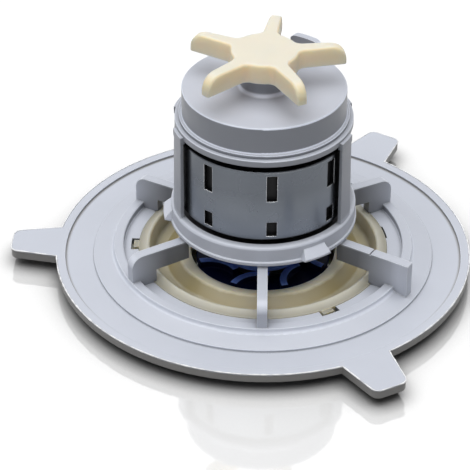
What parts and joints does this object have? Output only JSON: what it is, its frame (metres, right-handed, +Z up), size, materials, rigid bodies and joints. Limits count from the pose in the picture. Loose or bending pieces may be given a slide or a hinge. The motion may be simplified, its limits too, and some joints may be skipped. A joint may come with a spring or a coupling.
{
  "type": "pump motor rotor",
  "caption": "Wet rotor unit of a circulation pump: round cover with ribs and an open cage, magnet rotor, curved-blade impeller, guide ring, end cap and star wheel.",
  "frame": {"origin": "on the rotor's axis, in the plane the unit stands on (the open end of the guide ring's neck)", "axes": "+Z up along the rotor's axis, from the suction port to the star wheel; -Y is the pictured front, +X is on its right"},
  "size_m": [0.1556, 0.1521, 0.0836],
  "materials": {
    "grey_plastic": "satin light blue-grey moulding",
    "cap_plastic": "satin light blue-grey moulding",
    "plate_plastic": "black moulding",
    "rotor_plastic": "satin dark grey overmould",
    "ferrite": "pressed black ferrite",
    "core_steel": "turned",
    "shaft_steel": "ground",
    "bush_carbon": "sintered carbon",
    "washer_ceramic": "lapped",
    "impeller_plastic": "deep blue moulding",
    "guide_plastic": "cream translucent moulding",
    "star_plastic": "cream moulding"
  },
  "bodies": {
    "housing": {"pump_cover": "grey_plastic", "end_cap": "cap_plastic", "lower_bearing_plate": "plate_plastic", "upper_bearing": "bush_carbon", "lower_bearing": "bush_carbon", "diffuser_ring": "guide_plastic"},
    "rotor": {"shaft": "shaft_steel", "rotor_shell": "rotor_plastic", "rotor_core": "core_steel", "magnet_1": "ferrite", "magnet_2": "ferrite", "magnet_3": "ferrite", "magnet_4": "ferrite", "magnet_5": "ferrite", "magnet_6": "ferrite", "magnet_7": "ferrite", "magnet_8": "ferrite", "upper_thrust_washer": "washer_ceramic", "lower_thrust_washer": "washer_ceramic", "impeller": "impeller_plastic", "star_wheel": "star_plastic"}
  },
  "joints": [
    {"name": "rotor_spin", "type": "hinge", "parent": "housing", "child": "rotor", "pos_m": [0, 0, 0], "axis": [0, 0, 1], "continuous": true}
  ]
}
